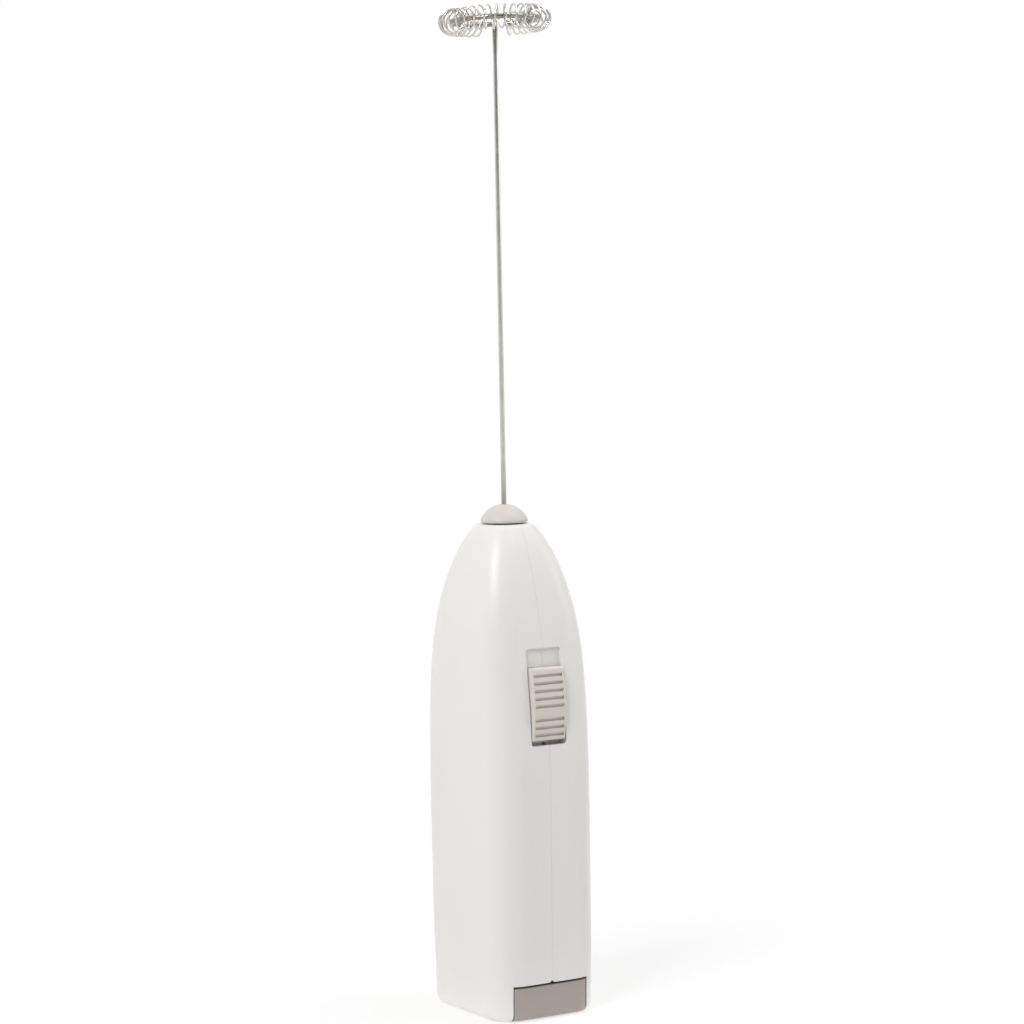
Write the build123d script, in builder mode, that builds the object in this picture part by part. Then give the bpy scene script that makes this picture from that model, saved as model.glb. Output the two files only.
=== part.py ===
from build123d import *

import os
from math import asin, atan2, cos, degrees, pi, radians, sin, sqrt

# Battery milk frother standing on its base, in millimetres.
# +Z runs up the whisk rod, -Y is the switch side, and the two shells meet on the plane X = 0.
# The origin is the middle of the base, on the surface that the frother stands on.

# Overall
overall_height = 220.0
running_gap = 0.3
contact_gap = 0.05

# Cells, two AA side by side along Y
cell_diameter = 14.3
cell_length = 50.4
cell_nub_diameter = 5.4
cell_nub_height = 1.2
cell_edge_round = 0.6
cell_gap = 0.4
cell_clearance = 0.25

# Shell walls
wall_thickness = 1.5
base_wall = 1.8
nose_wall = 1.8
rib_thickness = 1.2

# Shell form
belly = 1.0
waist_draw_in = 0.15
corner_radius = 6.9
base_round = 2.0
nose_round = 0.7
nose_half_width = 5.35
nose_half_depth = 6.45
side_curve_below_deck = 7.5
front_curve_above_motor_base = 5.5
seam_width = 0.05
seam_depth = 0.06
seam_notch_size = 0.8
locating_pin_radius = 1.0
locating_pin_length = 2.5
locating_pin_clearance = 0.1
locating_pin_heights = (6.0, 16.0)

# Battery lid
lid_lift = 0.2
lid_plate = 1.8
lid_margin = 1.95
lid_recess = 0.2
lid_panel_height = 7.5
lid_panel_wall = 1.0
lid_rim_wall = 1.2
lid_rim_height = 2.4
lid_edge_round = 1.3
lid_rail = 3.8
lid_hinge_radius = 1.7
lid_hinge_block = 2.55
lid_pin_radius = 0.9
lid_pin_length = 1.2
lid_pin_clearance = 0.05
lid_tongue_width = 3.0
lid_tongue_rise = 1.3
lid_tongue_set_back = 0.5
lid_tongue_wall = 1.0
lid_tongue_root = 3.0
lid_tongue_margin = 1.2

# Contacts
sheet = 0.3
strip_width = 3.0
strip_motor_gap = 0.5
contact_width = 9.0
strip_gap = 0.8
strip_bend = 0.5
lid_spring_height = 4.4
deck_spring_height = 3.4
spring_wire = 0.5
spring_base_radius = 3.0
spring_tip_radius = 2.1
spring_turns = 3
wire_sides = 6
dimple_base_radius = 3.2
dimple_tip_radius = 1.6

# Slide switch
recess_half_width = 4.45
recess_height = 21.0
recess_above_deck = 0.4
recess_lip_at_top = 0.45
recess_floor_wall = 1.4
recess_corner = 0.7
button_side_gap = 0.25
button_back_gap = 0.15
button_height = 15.7
button_rest_gap = 1.1
button_proud_low = 0.1
button_proud_high = 1.0
button_bulge = 0.8
button_edge_round = 0.5
switch_travel = 3.6
stem_half_width = 1.8
stem_height = 6.0
foot_half_width = 3.4
foot_height = 7.6
foot_thickness = 1.0
groove_pitch = 1.65
groove_width = 0.7
groove_depth = 0.45
groove_margin = 0.55
groove_upper_count = 5
groove_lower_count = 3
groove_first_below_top = 1.6
groove_band = 2.95
wiper_dimple_radius = 0.6
wiper_drop = 2.0

# Motor
motor_diameter = 20.1
motor_flats = 15.1
motor_length = 25.0
motor_wall = 0.8
motor_side_clearance = 0.4
motor_fit = 0.05
end_bell_length = 5.0
end_bell_floor = 2.0
end_bell_wall = 1.4
boss_diameter = 6.1
boss_height = 1.6
bush_diameter = 4.2
bush_length = 2.4
shaft_diameter = 2.0
shaft_clearance = 0.03
magnet_thickness = 2.2
magnet_length = 16.0
magnet_trim = 0.9
air_gap = 0.5
stack_length = 12.0
pole_face = 1.2
pole_neck = 2.2
pole_slot = 2.4
rotor_core_radius = 2.2
winding_depth = 1.1
commutator_radius = 2.6
commutator_wall = 0.5
commutator_length = 4.0
commutator_slot = 0.5
brush_gap = 0.1
brush_rise = 3.4
tab_length = 4.0
tab_set_in = 2.45
wiring_space = 8.85

# Coupling dome, rod and whisk
dome_gap = 0.3
dome_radius = 5.2
dome_height = 3.9
dome_rim = 0.6
dome_top_radius = 1.1
dome_bulge = 0.65
dome_edge_round = 0.25
hub_diameter = 5.0
hub_bore_gap = 0.4
hub_above_boss = 0.8
shaft_in_hub = 5.0
rod_diameter = 1.1
rod_in_hub = 6.0
ring_radius = 9.65
ring_tilt = 2.0
spoke_heading = 59.0
spoke_bend = 2.6
ring_bend = 2.0
ring_end_gap = 14.0
coil_diameter = 5.5
coil_wire = 0.45
coil_turns = 30
coil_start = 17.0
coil_end = 344.0
coil_hook_radius = 0.9

# Places worked out from the sizes above, from the base up
hinge_height = lid_lift + lid_hinge_radius
lid_plate_top = lid_lift + lid_plate
lid_sheet_top = lid_plate_top + sheet
lid_panel_top = lid_lift + lid_panel_height
cell_seat = lid_sheet_top + lid_spring_height + contact_gap
cell_top = cell_seat + cell_length - cell_nub_height
deck_sheet_low = cell_top + deck_spring_height
deck_low = deck_sheet_low + sheet
deck_high = deck_low + wall_thickness
recess_low = deck_low + recess_above_deck
recess_high = recess_low + recess_height
button_low = recess_low + button_rest_gap
button_high = button_low + button_height
button_mid = (button_low + button_high) / 2
motor_base = deck_high + wiring_space
motor_top = motor_base + motor_length
can_base = motor_base + end_bell_length
boss_top = motor_top + boss_height

# Shell form, from the cells, the lid and the motor that it holds
cell_pitch = cell_diameter + cell_gap
cell_places = (-cell_pitch / 2, cell_pitch / 2)
lid_half_width = cell_diameter / 2 + lid_margin
base_half_depth = (cell_pitch + cell_diameter) / 2 + cell_clearance + wall_thickness
base_half_width = lid_half_width + running_gap + lid_rail
waist_half_depth = base_half_depth + belly
waist_half_width = base_half_width - waist_draw_in
side_curve_start = deck_low - side_curve_below_deck
front_curve_start = motor_base + front_curve_above_motor_base
shoulder_half_depth = motor_diameter / 2 + motor_side_clearance + wall_thickness
side_curve_length = (motor_top - side_curve_start) / sqrt(1 - (shoulder_half_depth / waist_half_depth) ** 2)
nose_height = side_curve_start + side_curve_length * sqrt(1 - (nose_half_depth / waist_half_depth) ** 2)
front_curve_length = (nose_height - front_curve_start) / sqrt(1 - (nose_half_width / waist_half_width) ** 2)
form_stations = [share * nose_height for share in (0.12, 0.24, 0.36, 0.48, 0.6, 0.7, 0.78, 0.85, 0.91, 0.96)]
outside = 2 * waist_half_depth


def half_depth(height):
    """Half the shell's depth along Y: a slight belly, then half an ellipse up to the nose."""
    if height < side_curve_start:
        return waist_half_depth - belly * (1 - height / side_curve_start) ** 2
    return waist_half_depth * sqrt(1 - ((height - side_curve_start) / side_curve_length) ** 2)


def half_width(height):
    """Half the shell's width along X: drawn in towards the waist, then half an ellipse."""
    if height < front_curve_start:
        return waist_half_width + waist_draw_in * (1 - height / front_curve_start) ** 2
    return waist_half_width * sqrt(1 - ((height - front_curve_start) / front_curve_length) ** 2)


def body_form(inset, low, high, mode=Mode.ADD):
    """Loft the shell's form between two heights, drawn in on all sides by an inset."""
    sections = []
    for height in [low, *[z for z in form_stations if low + 1 < z < high - 1], high]:
        corner = corner_radius * sqrt(half_width(height) / base_half_width)
        with BuildSketch(Plane.XY.offset(height)) as section:
            RectangleRounded(
                2 * (half_width(height) - inset),
                2 * (half_depth(height) - inset),
                corner - inset,
            )
        sections.append(section.sketch)
    loft(sections, mode=mode)


def block(x, y, z, mode=Mode.ADD):
    """Make a box between two limits along each axis."""
    with Locations((sum(x) / 2, sum(y) / 2, sum(z) / 2)):
        Box(x[1] - x[0], y[1] - y[0], z[1] - z[0], mode=mode)


def upright(radius, low, high, mode=Mode.ADD):
    """Make a round post on the Z axis between two heights."""
    with BuildSketch(Plane.XY.offset(low)) as disc:
        Circle(radius)
    extrude(disc.sketch, amount=high - low, mode=mode)


def cross_bar(radius, x, y, z, mode=Mode.ADD):
    """Make a round bar along X between two limits."""
    with BuildSketch(Plane.YZ.offset(x[0])) as disc:
        with Locations((y, z)):
            Circle(radius)
    extrude(disc.sketch, amount=x[1] - x[0], mode=mode)


def motor_section(grow):
    """Draw the motor's outline: a circle with two flats that face the shells."""
    Circle(motor_diameter / 2 + grow)
    Rectangle(motor_flats + 2 * grow, 2 * motor_diameter, mode=Mode.INTERSECT)


def heading(curve, share):
    """Direction of a curve at a share of its length."""
    step = 1e-5
    return (curve(share + step) - curve(share - step)).normalized()


def follow(curve, spans):
    """Follow a curve by two tangent arcs for each of its spans."""
    for span in range(spans):
        start = curve(span / spans)
        end = curve((span + 1) / spans)
        leave = heading(curve, span / spans)
        arrive = heading(curve, (span + 1) / spans)
        chord = end - start
        spread = 2 * (1 - leave.dot(arrive))
        reach = chord.dot(leave + arrive)
        arm = (sqrt(reach**2 + spread * chord.dot(chord)) - reach) / spread
        meet = (start + end + (leave - arrive) * arm) * 0.5
        first = (meet - start).normalized()
        through = first * (2 * leave.dot(first)) - leave
        TangentArc(start, meet, tangent=leave)
        TangentArc(meet, end, tangent=through)


def least_gap(curve, turns, wire):
    """Least clear distance between a wound wire and its own other turns, on points."""
    per_turn = 16
    count = per_turn * turns
    points = [curve(i / count) for i in range(count + 1)]
    apart = [
        (points[i] - points[j]).length
        for i in range(count + 1)
        for j in range(i + per_turn // 2, min(count + 1, i + 2 * per_turn))
    ]
    return min(apart) - wire


# Shell interior: deck over the cells, cell guides, motor stops and saddles, switch pocket, bosses
hinge_place = half_depth(0) - wall_thickness - lid_hinge_radius - running_gap
lid_opening = lid_half_width + running_gap
recess_floor = half_depth(recess_high) - recess_lip_at_top
pocket_back = recess_floor - recess_floor_wall
guide_low = lid_panel_top + lid_tongue_rise + 2 * running_gap
guide_reach = cell_diameter / 2 + cell_clearance
valley_reach = sqrt(guide_reach**2 - (cell_pitch / 2 - rib_thickness / 2) ** 2)
guides = ((cell_places[0], guide_reach), (0, valley_reach), (cell_places[1], guide_reach))
saddle_spacing = motor_length / 3
saddles = (motor_top - saddle_spacing / 2, motor_top - 3 * saddle_spacing / 2)
everywhere = (-outside, outside)


def locating_boss(side):
    """Place, height and radius of the boss beside the motor, in front of it or behind it."""
    height = motor_base + locating_pin_heights[0 if side > 0 else 1]
    room = half_depth(height) - motor_diameter / 2
    return side * (motor_diameter / 2 + room / 2), height, room / 2 - motor_fit


with BuildPart() as ribs:
    block(everywhere, everywhere, (deck_low, deck_high))
    block(everywhere, everywhere, (motor_top, boss_top))
    for saddle in saddles:
        block(everywhere, everywhere, (saddle - wall_thickness, saddle))
    for side in (-1, 1):
        for place, reach in guides:
            block(
                sorted((side * reach, side * outside)),
                (place - rib_thickness / 2, place + rib_thickness / 2),
                (guide_low, deck_low),
            )
        block(
            sorted((side * lid_opening, side * outside)),
            (hinge_place - lid_hinge_block, outside),
            (0, hinge_height + lid_hinge_block),
        )
        block(
            sorted((side * (motor_flats / 2 - wall_thickness), side * outside)),
            (-motor_diameter / 4, motor_diameter / 4),
            (motor_base - wall_thickness, motor_base),
        )
        place, height, radius = locating_boss(side)
        cross_bar(radius, everywhere, place, height)
    block(
        (-recess_half_width - recess_floor_wall, recess_half_width + recess_floor_wall),
        (-outside, -pocket_back),
        (recess_low - wall_thickness, recess_high + wall_thickness),
    )
    body_form(wall_thickness / 2, base_wall / 2, nose_height - nose_wall / 2, Mode.INTERSECT)

# Groove of the seam, cut all round the join of the shells
with BuildPart() as seam:
    block((-seam_width / 2, seam_width / 2), everywhere, (-seam_depth, nose_height + seam_depth))
    body_form(seam_depth, seam_depth, nose_height - seam_depth, Mode.SUBTRACT)

# Both shells as one, before they are parted
hub_bore = hub_diameter / 2 + hub_bore_gap
stem_low = button_mid - stem_height / 2
stem_high = button_mid + stem_height / 2
terminal_place = motor_diameter / 2 - tab_set_in
negative_leg = motor_diameter / 2 + strip_motor_gap + sheet / 2
positive_leg = cell_pitch / 2 + contact_width / 2 - sheet / 2
left_strip = (-strip_gap / 2 - strip_width, -strip_gap / 2)
right_strip = (strip_gap / 2, strip_gap / 2 + strip_width)
middle_strip = (-strip_width / 2, strip_width / 2)
with BuildPart() as housing:
    body_form(0, 0, nose_height)
    fillet(housing.faces().sort_by(Axis.Z)[0].edges(), base_round)
    fillet(housing.faces().sort_by(Axis.Z)[-1].edges(), nose_round)
    body_form(wall_thickness, base_wall, nose_height - nose_wall, Mode.SUBTRACT)
    add(ribs.part)
    # Motor bay and the way out for the hub
    with BuildSketch(Plane.XY.offset(motor_base)):
        motor_section(motor_fit)
    extrude(amount=motor_length, mode=Mode.SUBTRACT)
    upright(boss_diameter / 2 + motor_fit, motor_top, boss_top, Mode.SUBTRACT)
    upright(hub_bore, boss_top, nose_height + nose_wall, Mode.SUBTRACT)
    # Lid opening through the base and up the front, with room for the hinge to turn
    block(
        (-lid_opening, lid_opening),
        (-outside, hinge_place + lid_hinge_radius + running_gap),
        (-base_wall, base_wall),
        Mode.SUBTRACT,
    )
    block(
        (-lid_opening, lid_opening),
        (-outside, -base_half_depth + 2 * wall_thickness),
        (-base_wall, lid_panel_top + running_gap),
        Mode.SUBTRACT,
    )
    cross_bar(
        lid_hinge_radius + running_gap, (-lid_opening, lid_opening), hinge_place, hinge_height, Mode.SUBTRACT
    )
    pin_reach = lid_opening + lid_pin_length
    cross_bar(
        lid_pin_radius + lid_pin_clearance, (-pin_reach, pin_reach), hinge_place, hinge_height, Mode.SUBTRACT
    )
    # Switch recess, with the slot that the stem runs in
    with BuildSketch(Plane.XZ.offset(recess_floor)):
        with Locations((0, (recess_low + recess_high) / 2)):
            RectangleRounded(2 * recess_half_width, recess_height, recess_corner)
    extrude(amount=outside, mode=Mode.SUBTRACT)
    block(
        (-stem_half_width - running_gap, stem_half_width + running_gap),
        (-outside, -pocket_back),
        (stem_low - running_gap, stem_high + switch_travel + running_gap),
        Mode.SUBTRACT,
    )
    # Slots in the deck for the two contact legs
    leg_out = sheet / 2 + contact_gap
    for strip, leg in ((left_strip, -negative_leg), (middle_strip, positive_leg)):
        way = 1 if leg > 0 else -1
        block(
            (strip[0] - contact_gap, strip[1] + contact_gap),
            sorted((leg - way * (leg_out + strip_bend), leg + way * leg_out)),
            (deck_low, deck_high),
            Mode.SUBTRACT,
        )
    # Eased corners where the seam meets the lid and the foot of the recess, and the seam's groove
    lid_edge = lid_panel_top + running_gap
    for place, height in ((half_depth(lid_edge), lid_edge), (recess_floor, recess_low)):
        with Locations(Location((0, -place, height), (0, 45, 0))):
            Box(seam_notch_size, 2 * wall_thickness, seam_notch_size, mode=Mode.SUBTRACT)
    add(seam.part, mode=Mode.SUBTRACT)
    block(
        (-seam_width / 2, seam_width / 2),
        (-recess_floor, seam_depth - recess_floor),
        (recess_low, recess_high),
        Mode.SUBTRACT,
    )

with BuildPart() as left_shell:
    add(housing.part)
    split(bisect_by=Plane.YZ, keep=Keep.BOTTOM)
    for side in (-1, 1):
        place, height, radius = locating_boss(side)
        cross_bar(locating_pin_radius, (-locating_pin_length, locating_pin_length), place, height)

with BuildPart() as right_shell:
    add(housing.part)
    split(bisect_by=Plane.YZ, keep=Keep.TOP)
    for side in (-1, 1):
        place, height, radius = locating_boss(side)
        socket = (0, locating_pin_length + locating_pin_clearance)
        cross_bar(locating_pin_radius + locating_pin_clearance, socket, place, height, Mode.SUBTRACT)

# Battery lid: floor plate, front panel, rims and snap tongues in one, on two hinge pins
panel_back = half_depth(lid_lift) - lid_recess - lid_panel_wall
tongue_front = half_depth(lid_panel_top) - wall_thickness - lid_tongue_set_back
tongue_outer = lid_half_width - lid_tongue_margin
with BuildPart() as battery_lid:
    body_form(lid_recess, lid_lift, lid_panel_top)
    block((-lid_half_width, lid_half_width), (-outside, hinge_place), (0, lid_panel_top), Mode.INTERSECT)
    fillet(battery_lid.faces().sort_by(Axis.Z)[0].edges().sort_by(Axis.Y)[0], lid_edge_round)
    block(
        (-lid_half_width, lid_half_width),
        (-panel_back, hinge_place),
        (lid_plate_top + lid_rim_height, lid_panel_top),
        Mode.SUBTRACT,
    )
    block(
        (-lid_half_width + lid_rim_wall, lid_half_width - lid_rim_wall),
        (-panel_back, hinge_place),
        (lid_plate_top, lid_panel_top),
        Mode.SUBTRACT,
    )
    for side in (-1, 1):
        tongue = sorted((side * (tongue_outer - lid_tongue_width), side * tongue_outer))
        tongue_back = lid_tongue_wall - tongue_front
        block(tongue, (-panel_back, tongue_back), (lid_panel_top - lid_tongue_root, lid_panel_top))
        block(tongue, (-tongue_front, tongue_back), (lid_panel_top, lid_panel_top + lid_tongue_rise))
    cross_bar(lid_hinge_radius, (-lid_half_width, lid_half_width), hinge_place, hinge_height)
    pin_end = lid_half_width + lid_pin_length
    cross_bar(lid_pin_radius, (-pin_end, pin_end), hinge_place, hinge_height)


def revolved(points, place=0.0):
    """Turn a half outline, given as radius and height, about an upright axis on the plane X = 0."""
    with BuildSketch(Plane(origin=(0, place, 0), x_dir=(1, 0, 0), z_dir=(0, -1, 0))) as outline:
        with BuildLine():
            Polyline(*points, close=True)
        make_face()
    revolve(outline.sketch, axis=Axis((0, place, 0), (0, 0, 1)))


def bent_strip(points, x):
    """Bend a strip of contact sheet through points given as Y and height."""
    with BuildSketch(Plane.YZ.offset(x[0])) as side_view:
        with BuildLine():
            FilletPolyline(*points, radius=strip_bend)
        trace(line_width=sheet)
    extrude(side_view.sketch, amount=x[1] - x[0])


def contact_plate(place, low, width, length):
    """Make a flat contact with rounded corners."""
    with BuildSketch(Plane.XY.offset(low)) as plate:
        with Locations((0, place)):
            RectangleRounded(width, length, 2 * strip_bend)
    extrude(plate.sketch, amount=sheet)


def pressed_cone(place, root, tip):
    """Press a hollow cone out of a contact sheet, from the sheet's far face to a tip."""
    skin = sheet if tip > root else -sheet
    with BuildSketch(Plane.XY.offset(root)) as hole:
        with Locations((0, place)):
            Circle(dimple_base_radius - sheet)
    extrude(hole.sketch, amount=skin, mode=Mode.SUBTRACT)
    revolved(
        [
            (dimple_base_radius, root),
            (dimple_tip_radius, tip),
            (0, tip),
            (0, tip - skin),
            (dimple_tip_radius - sheet, tip - skin),
            (dimple_base_radius - sheet, root),
        ],
        place,
    )


def spring_curve(place, base, tip):
    """Line of a conical spring, from its wide base height to its narrow tip height."""

    def curve(share):
        angle = 2 * pi * spring_turns * share
        radius = spring_base_radius + (spring_tip_radius - spring_base_radius) * share
        return Vector(radius * cos(angle), place + radius * sin(angle), base + (tip - base) * share)

    return curve


# Cells: the front one stands on its nub, the rear one on its flat end
front, rear = cell_places
with BuildPart() as cell_front:
    revolved(
        [
            (0, cell_seat - cell_nub_height),
            (cell_nub_diameter / 2, cell_seat - cell_nub_height),
            (cell_nub_diameter / 2, cell_seat),
            (cell_diameter / 2, cell_seat),
            (cell_diameter / 2, cell_top),
            (0, cell_top),
        ],
        front,
    )
    fillet(cell_front.edges().filter_by(GeomType.CIRCLE).group_by(SortBy.RADIUS)[-1], cell_edge_round)

with BuildPart() as cell_rear:
    revolved(
        [
            (0, cell_seat),
            (cell_diameter / 2, cell_seat),
            (cell_diameter / 2, cell_top),
            (cell_nub_diameter / 2, cell_top),
            (cell_nub_diameter / 2, cell_top + cell_nub_height),
            (0, cell_top + cell_nub_height),
        ],
        rear,
    )
    fillet(cell_rear.edges().filter_by(GeomType.CIRCLE).group_by(SortBy.RADIUS)[-1], cell_edge_round)

# Bridge contact on the lid, with its cone under one cell and its spring under the other
with BuildPart() as bridge_contact:
    bridge_front = front - contact_width / 2
    bridge_rear = hinge_place - lid_hinge_radius - contact_gap
    contact_plate((bridge_front + bridge_rear) / 2, lid_plate_top, contact_width, bridge_rear - bridge_front)
    pressed_cone(front, lid_plate_top, cell_seat - cell_nub_height - contact_gap)

lid_spring_top = cell_seat - contact_gap - spring_wire / 2
lid_spring_line = spring_curve(rear, lid_sheet_top + spring_wire / 2, lid_spring_top)
with BuildPart() as lid_spring:
    with BuildLine():
        follow(lid_spring_line, 2 * spring_turns)
    with BuildSketch(Plane(origin=lid_spring_line(0), z_dir=heading(lid_spring_line, 0))):
        RegularPolygon(spring_wire / 2, side_count=wire_sides)
    sweep()

# Contacts under the deck
wiper_height = button_mid - wiper_drop
strip_top = wiper_height + switch_travel + 2 * wiper_dimple_radius + sheet
deck_sheet_mid = deck_sheet_low + sheet / 2
strip_run = motor_base - sheet - strip_bend
with BuildPart() as negative_contact:
    contact_plate(front, deck_sheet_low, contact_width, contact_width)
    bent_strip(
        [(front, deck_sheet_mid), (-negative_leg, deck_sheet_mid), (-negative_leg, strip_top)],
        left_strip,
    )

deck_spring_line = spring_curve(front, deck_sheet_low - spring_wire / 2, cell_top + spring_wire / 2)
with BuildPart() as deck_spring:
    with BuildLine():
        follow(deck_spring_line, 2 * spring_turns)
    with BuildSketch(Plane(origin=deck_spring_line(0), z_dir=heading(deck_spring_line, 0))):
        RegularPolygon(spring_wire / 2, side_count=wire_sides)
    sweep()

tab_line = terminal_place + sheet / 2
strip_cross = (deck_high + motor_base - tab_length) / 2
with BuildPart() as positive_contact:
    contact_plate(rear, deck_sheet_low, contact_width, contact_width)
    pressed_cone(rear, deck_low, cell_top + cell_nub_height)
    bent_strip(
        [
            (rear + dimple_base_radius, deck_sheet_mid),
            (positive_leg, deck_sheet_mid),
            (positive_leg, strip_cross),
            (tab_line, strip_cross),
            (tab_line, motor_base - sheet),
        ],
        middle_strip,
    )

with BuildPart() as switch_strip:
    bent_strip(
        [
            (-negative_leg, strip_top),
            (-negative_leg, strip_run),
            (-tab_line, strip_run),
            (-tab_line, motor_base - tab_length),
        ],
        right_strip,
    )

# Slide button, on a stem through the recess floor to a foot inside
button_half_width = recess_half_width - button_side_gap
button_back = recess_floor + button_back_gap
face_low = half_depth(button_low) + button_proud_low
face_high = half_depth(button_high) + button_proud_high
foot_front = pocket_back - button_back_gap
foot_back = foot_front - foot_thickness
groove_top = button_high - groove_first_below_top
groove_second = groove_top - (groove_upper_count - 1) * groove_pitch - groove_band
grooves = [groove_top - i * groove_pitch for i in range(groove_upper_count)]
grooves += [groove_second - i * groove_pitch for i in range(groove_lower_count)]
with BuildPart() as switch_button:
    with BuildSketch(Plane.YZ.offset(-button_half_width)):
        with BuildLine():
            Polyline(
                (-face_low, button_low),
                (-button_back, button_low),
                (-button_back, button_high),
                (-face_high, button_high),
            )
            SagittaArc((-face_high, button_high), (-face_low, button_low), -button_bulge)
        make_face()
    extrude(amount=2 * button_half_width)
    fillet(switch_button.faces().sort_by(Axis.Y)[0].edges(), button_edge_round)
    for height in grooves:
        share = (height - button_low) / button_height
        face = face_low + (face_high - face_low) * share + 4 * button_bulge * share * (1 - share)
        block(
            (groove_margin - button_half_width, button_half_width - groove_margin),
            (-outside, groove_depth - face),
            (height - groove_width / 2, height + groove_width / 2),
            Mode.SUBTRACT,
        )
    block((-stem_half_width, stem_half_width), (-button_back, -foot_back), (stem_low, stem_high))
    block(
        (-foot_half_width, foot_half_width),
        (-foot_front, -foot_back),
        (button_mid - foot_height / 2, button_mid + foot_height / 2),
    )

# Wiper on the foot, with two dimples that bridge the strips when the button is up
dimple_reach = foot_back - sheet - (negative_leg + sheet / 2 + contact_gap)
with BuildPart() as switch_wiper:
    block(
        (-foot_half_width, foot_half_width),
        (-foot_back, sheet - foot_back),
        (button_mid - foot_height / 2, button_mid + foot_height / 2),
    )
    with BuildSketch(Plane.ZX.offset(sheet - foot_back)):
        with Locations(*[(wiper_height, sum(strip) / 2) for strip in (left_strip, right_strip)]):
            Circle(wiper_dimple_radius)
    extrude(amount=dimple_reach)

# Motor, fixed parts
bush_radius = bush_diameter / 2
bush_bore = shaft_diameter / 2 + shaft_clearance
with BuildPart() as motor_can:
    with BuildSketch(Plane.XY.offset(can_base)):
        motor_section(0)
    extrude(amount=motor_top - can_base)
    fillet(motor_can.faces().sort_by(Axis.Z)[-1].edges(), motor_wall)
    with BuildSketch(Plane.XY.offset(can_base)):
        motor_section(-motor_wall)
    extrude(amount=motor_top - can_base - motor_wall, mode=Mode.SUBTRACT)
    upright(boss_diameter / 2, motor_top - motor_wall, boss_top)
    upright(bush_radius, can_base, boss_top, Mode.SUBTRACT)

with BuildPart() as motor_front_bush:
    upright(bush_radius, boss_top - bush_length, boss_top)
    upright(bush_bore, boss_top - bush_length, boss_top, Mode.SUBTRACT)

spigot_top = can_base + motor_wall
brush_run = motor_base + end_bell_floor + sheet
with BuildPart() as motor_end_bell:
    with BuildSketch(Plane.XY.offset(motor_base)):
        motor_section(0)
    extrude(amount=end_bell_length)
    with BuildSketch(Plane.XY.offset(can_base)):
        motor_section(-motor_wall - motor_fit)
    extrude(amount=spigot_top - can_base)
    bell_floor = motor_base + end_bell_floor
    upright(motor_flats / 2 - motor_wall - end_bell_wall, bell_floor, spigot_top, Mode.SUBTRACT)
    upright(bush_radius, motor_base, spigot_top, Mode.SUBTRACT)
    # A slot on each side for the brush and its tab
    tab_side = terminal_place + contact_gap
    slot_half = strip_width / 2 + contact_gap
    block((-slot_half, slot_half), (-tab_side, tab_side), (bell_floor, spigot_top), Mode.SUBTRACT)
    for side in (-1, 1):
        block(
            (-slot_half, slot_half),
            sorted((side * (terminal_place - sheet - contact_gap), side * tab_side)),
            (motor_base, bell_floor),
            Mode.SUBTRACT,
        )

with BuildPart() as motor_rear_bush:
    upright(bush_radius, motor_base, motor_base + bush_length)
    upright(bush_bore, motor_base, motor_base + bush_length, Mode.SUBTRACT)

stack_mid = (can_base + motor_top - motor_wall) / 2
stack_low = stack_mid - stack_length / 2
magnet_radius = motor_diameter / 2 - motor_wall - magnet_thickness


def magnet(side):
    """Extrude one magnet, which fills the can's round side."""
    with BuildSketch(Plane.XY.offset(stack_mid - magnet_length / 2)) as arc:
        motor_section(-motor_wall - contact_gap)
        Circle(magnet_radius, mode=Mode.SUBTRACT)
        with Locations((0, side * motor_diameter / 2)):
            Rectangle(motor_flats - 2 * motor_wall - 2 * magnet_trim, motor_diameter, mode=Mode.INTERSECT)
    extrude(arc.sketch, amount=magnet_length)


with BuildPart() as motor_magnet_front:
    magnet(-1)

with BuildPart() as motor_magnet_rear:
    magnet(1)

commutator_high = stack_low - winding_depth - contact_gap
commutator_low = commutator_high - commutator_length
brush_line = commutator_radius + brush_gap + sheet / 2


def brush(side):
    """Bend one brush: a tab below the end bell, a run over its floor and a leaf on the commutator."""
    tab_mid = terminal_place - sheet / 2
    bent_strip(
        [
            (side * tab_mid, motor_base - tab_length),
            (side * tab_mid, brush_run),
            (side * brush_line, brush_run),
            (side * brush_line, brush_run + brush_rise),
        ],
        middle_strip,
    )


with BuildPart() as motor_brush_front:
    brush(-1)

with BuildPart() as motor_brush_rear:
    brush(1)

# Motor, turning parts
hub_low = boss_top + hub_above_boss
shaft_top = hub_low + shaft_in_hub
rotor_radius = magnet_radius - air_gap
pole_inner = rotor_radius - pole_face
with BuildPart() as motor_shaft:
    upright(shaft_diameter / 2, motor_base + contact_gap, shaft_top)

with BuildPart() as rotor_stack:
    with BuildSketch(Plane.XY.offset(stack_low)):
        Circle(rotor_radius)
        Circle(pole_inner, mode=Mode.SUBTRACT)
        with PolarLocations(rotor_radius, 3, start_angle=60):
            Rectangle(2 * rotor_radius, pole_slot, mode=Mode.SUBTRACT)
        with PolarLocations(rotor_radius / 2, 3):
            Rectangle(rotor_radius, pole_neck)
        Circle(rotor_core_radius)
        Circle(shaft_diameter / 2, mode=Mode.SUBTRACT)
        Circle(rotor_radius, mode=Mode.INTERSECT)
    extrude(amount=stack_length)

winding_half_width = pole_neck / 2 + winding_depth
winding_outer = sqrt(pole_inner**2 - winding_half_width**2) - contact_gap
winding_inner = rotor_core_radius + contact_gap
winding_reach = winding_outer - winding_inner
winding_place = (winding_outer + winding_inner) / 2
with BuildPart() as rotor_windings:
    with BuildSketch(Plane.XY.offset(stack_low - winding_depth)):
        with PolarLocations(winding_place, 3):
            Rectangle(winding_reach, 2 * winding_half_width)
    extrude(amount=stack_length + 2 * winding_depth)
    with BuildSketch(Plane.XY.offset(stack_low)):
        with PolarLocations(winding_place, 3):
            Rectangle(2 * winding_reach, pole_neck)
    extrude(amount=stack_length, mode=Mode.SUBTRACT)

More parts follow.
